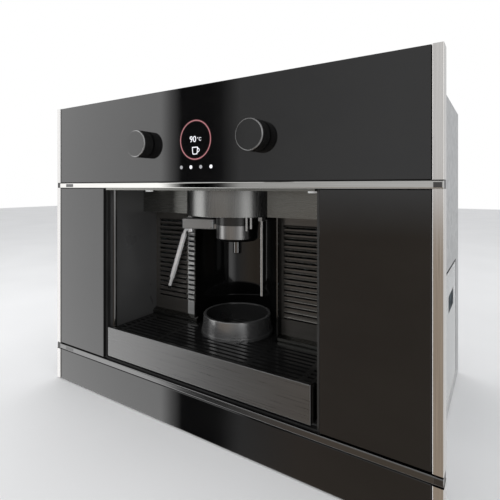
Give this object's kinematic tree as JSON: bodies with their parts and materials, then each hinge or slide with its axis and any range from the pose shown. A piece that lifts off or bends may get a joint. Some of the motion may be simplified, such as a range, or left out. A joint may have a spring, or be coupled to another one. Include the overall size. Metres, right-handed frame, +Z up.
{
  "type": "built in coffee machine",
  "caption": "Compact built in coffee machine with a lit niche, turning filter holder, steam wand, pull-out drip tray, loose cup ring, side water tank and turning press knobs.",
  "frame": {"origin": "centre of the footprint at the underside of the feet", "axes": "X to the right seen from the front, Y to the back, Z up; the front faces -Y"},
  "size_m": [0.595, 0.404, 0.455],
  "materials": {
    "black_glass": "black glass, polished",
    "brushed_steel": "fine brushed",
    "bright_steel": "polished",
    "grey_steel": "satin grey",
    "recess_black": "gloss black",
    "black_plastic": "fine matt",
    "group_metal": "cast and turned",
    "zinc_sheet": "galvanised sheet",
    "clear_plastic": "clear smoky plastic",
    "board": "circuit board",
    "copper_pipe": "drawn pipe"
  },
  "bodies": {
    "chassis": {"back_ledges": "brushed_steel", "back_panel_left": "grey_steel", "back_panel_right": "grey_steel", "base_pan": "zinc_sheet", "boiler": "group_metal", "boiler_stand": "zinc_sheet", "brew_pipe": "copper_pipe", "casing_screws": "zinc_sheet", "control_board": "board", "control_glass": "black_glass", "corner_blocks": "black_plastic", "display_module": "black_plastic", "encoders": "black_plastic", "feet": "black_plastic", "front_carrier": "black_plastic", "group_gasket": "black_plastic", "group_head": "group_metal", "group_housing": "brushed_steel", "left_glass": "black_glass", "left_strips": "brushed_steel", "lower_bar": "brushed_steel", "lower_glass": "black_glass", "niche_ceiling": "brushed_steel", "niche_floor": "grey_steel", "niche_lamps": "clear_plastic", "niche_top": "brushed_steel", "niche_trims": "bright_steel", "niche_wall_left": "grey_steel", "niche_wall_right": "grey_steel", "power_inlet": "black_plastic", "pump": "black_plastic", "rear_cover": "zinc_sheet", "recess_column": "recess_black", "right_glass": "black_glass", "right_strips": "brushed_steel", "shower_screen": "bright_steel", "side_panel_left": "zinc_sheet", "side_panel_right": "zinc_sheet", "solenoid_valve": "group_metal", "top_cover": "zinc_sheet", "upper_bar": "brushed_steel", "valances": "brushed_steel", "water_pipes": "bright_steel"},
    "left_press": {"left_press_stem": "black_plastic"},
    "right_press": {"right_press_stem": "black_plastic"},
    "left_knob": {"left_knob": "black_plastic"},
    "right_knob": {"right_knob": "black_plastic"},
    "portafilter": {"portafilter_bowl": "bright_steel", "portafilter_handle": "grey_steel", "filter_basket": "bright_steel", "coffee_spout": "bright_steel"},
    "steam_wand": {"wand_tube": "bright_steel", "wand_sleeve": "bright_steel", "wand_tip": "black_plastic"},
    "drip_tray": {"tray_tub": "recess_black", "tray_front": "brushed_steel"},
    "grille": {"drip_grille": "recess_black"},
    "cup_ring": {"cup_ring": "grey_steel"},
    "tank": {"water_tank": "clear_plastic", "tank_lid": "clear_plastic"}
  },
  "joints": [
    {"name": "left_knob_press", "type": "slide", "parent": "chassis", "child": "left_press", "axis": [0, 1, 0], "range_m": [0, 0.0008], "stiffness_N_per_m": 2500},
    {"name": "left_knob_turn", "type": "hinge", "parent": "left_press", "child": "left_knob", "pos_m": [-0.087, -0.184, 0.3835], "axis": [0, -1, 0], "continuous": true},
    {"name": "right_knob_press", "type": "slide", "parent": "chassis", "child": "right_press", "axis": [0, 1, 0], "range_m": [0, 0.0008], "stiffness_N_per_m": 2500},
    {"name": "right_knob_turn", "type": "hinge", "parent": "right_press", "child": "right_knob", "pos_m": [0.099, -0.184, 0.3835], "axis": [0, -1, 0], "continuous": true},
    {"name": "portafilter_turn", "type": "hinge", "parent": "chassis", "child": "portafilter", "pos_m": [0, -0.078, 0.267], "axis": [0, 0, 1], "range_deg": [0, 75]},
    {"name": "wand_swivel", "type": "hinge", "parent": "chassis", "child": "steam_wand", "pos_m": [-0.086, -0.086, 0.28], "axis": [0, 0, 1], "range_deg": [0, 100]},
    {"name": "tray_slide", "type": "slide", "parent": "chassis", "child": "drip_tray", "axis": [0, -1, 0], "range_m": [0, 0.12]},
    {"name": "grille_lift", "type": "slide", "parent": "drip_tray", "child": "grille", "axis": [0, 0, 1], "range_m": [0, 0.03]},
    {"name": "cup_ring_lift", "type": "slide", "parent": "grille", "child": "cup_ring", "axis": [0, 0, 1], "range_m": [0, 0.03]},
    {"name": "tank_slide", "type": "slide", "parent": "chassis", "child": "tank", "axis": [1, 0, 0], "range_m": [0, 0.1]}
  ]
}
